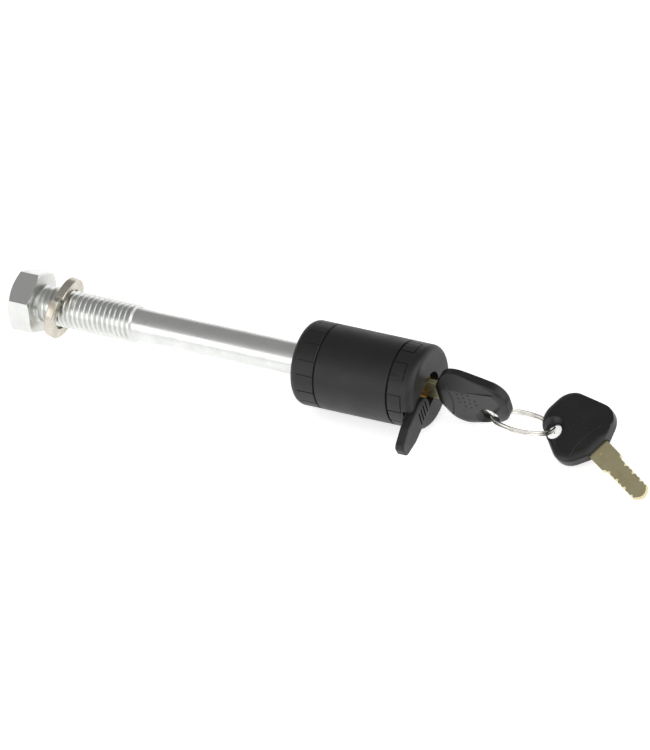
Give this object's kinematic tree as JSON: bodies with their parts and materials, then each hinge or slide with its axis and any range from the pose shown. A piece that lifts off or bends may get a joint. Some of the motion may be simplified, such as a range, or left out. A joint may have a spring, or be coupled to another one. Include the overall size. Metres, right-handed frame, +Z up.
{
  "type": "hitch pin lock",
  "caption": "locking hitch pin: hex-headed threaded pin with a push-on keyed barrel lock, sliding keyhole cover, split lock washer and a spare key on a split ring",
  "frame": {"origin": "centre of the hex head's outer end face", "axes": "+X along the pin from the hex head to the key, +Z up, the keyway lies in the XZ plane"},
  "size_m": [0.2913, 0.0495, 0.0373],
  "materials": {
    "zinc_plate": "bright zinc plate, lightly drawn along the shank",
    "washer_steel": "plain spring steel with a warm plate",
    "black_plastic": "black moulded plastic with a fine texture",
    "key_plastic": "black moulded key head, satin",
    "key_nickel": "nickel silver, lightly brushed",
    "brass": "machined brass",
    "inner_steel": "machined steel, oiled",
    "ring_steel": "bright plated wire",
    "seal_rubber": "nitrile rubber"
  },
  "bodies": {
    "pin": {"hitch_pin": "zinc_plate"},
    "washer": {"lock_washer": "washer_steel"},
    "lock_slide": {"o_ring_seal": "seal_rubber"},
    "lock_body": {"rear_cap": "black_plastic", "outer_sleeve": "black_plastic", "front_cap": "black_plastic", "lock_housing": "inner_steel", "ball_cage": "inner_steel", "cylinder_shell": "brass", "cylinder_pin": "inner_steel"},
    "ball_upper": {"locking_ball_upper": "inner_steel"},
    "ball_lower": {"locking_ball_lower": "inner_steel"},
    "cover": {"dust_cover": "black_plastic"},
    "plug": {"locking_cam": "inner_steel", "cylinder_plug": "brass", "plug_clip": "inner_steel"},
    "wafers_rising": {"wafer_1": "brass", "wafer_3": "brass", "wafer_5": "brass", "wafer_7": "brass"},
    "wafers_falling": {"wafer_2": "brass", "wafer_4": "brass", "wafer_6": "brass"},
    "key": {"key_blade": "key_nickel", "key_head": "key_plastic"},
    "ring": {"key_ring": "ring_steel"},
    "spare_key": {"spare_key_blade": "key_nickel", "spare_key_head": "key_plastic"}
  },
  "joints": [
    {"name": "washer_slide", "type": "slide", "parent": "pin", "child": "washer", "axis": [1, 0, 0], "range_m": [-0.004, 0.1]},
    {"name": "lock_pull_off", "type": "slide", "parent": "pin", "child": "lock_slide", "axis": [1, 0, 0], "range_m": [0, 0.04]},
    {"name": "lock_spin", "type": "hinge", "parent": "lock_slide", "child": "lock_body", "pos_m": [0.144, 0, 0], "axis": [1, 0, 0], "continuous": true},
    {"name": "key_turn", "type": "hinge", "parent": "lock_body", "child": "plug", "pos_m": [0.181, 0, 0], "axis": [1, 0, 0], "range_deg": [0, 90]},
    {"name": "ball_upper_press", "type": "slide", "parent": "lock_body", "child": "ball_upper", "axis": [0, 0, -1], "range_m": [0, 0.00165]},
    {"name": "ball_lower_press", "type": "slide", "parent": "lock_body", "child": "ball_lower", "axis": [0, 0, 1], "range_m": [0, 0.00165]},
    {"name": "key_slide", "type": "slide", "parent": "plug", "child": "key", "axis": [1, 0, 0], "range_m": [0, 0.12]},
    {"name": "cover_slide", "type": "slide", "parent": "lock_body", "child": "cover", "axis": [0, 0.9857, 0.1685], "range_m": [0, 0.0118]},
    {"name": "wafers_rise", "type": "slide", "parent": "plug", "child": "wafers_rising", "axis": [0, 0, 1], "range_m": [0, 0.001]},
    {"name": "wafers_fall", "type": "slide", "parent": "plug", "child": "wafers_falling", "axis": [0, 0, -1], "range_m": [0, 0.001]},
    {"name": "ring_swing", "type": "hinge", "parent": "key", "child": "ring", "pos_m": [0.2133, 0, -0.0079], "axis": [0, 1, 0], "range_deg": [-20, 20]},
    {"name": "spare_key_swing", "type": "hinge", "parent": "ring", "child": "spare_key", "pos_m": [0.2399, 0.00095, -0.013], "axis": [-0.1366, -0.2198, 0.9659], "range_deg": [-25, 25]}
  ],
  "couplings": [
    {"joint": "ball_upper_press", "follows": "key_turn", "m_per_rad": 0.00105},
    {"joint": "ball_lower_press", "follows": "key_turn", "m_per_rad": 0.00105},
    {"joint": "cover_slide", "follows": "key_slide", "ratio": 0.0983},
    {"joint": "wafers_rise", "follows": "key_slide", "ratio": 0.0083},
    {"joint": "wafers_fall", "follows": "key_slide", "ratio": 0.0083}
  ]
}
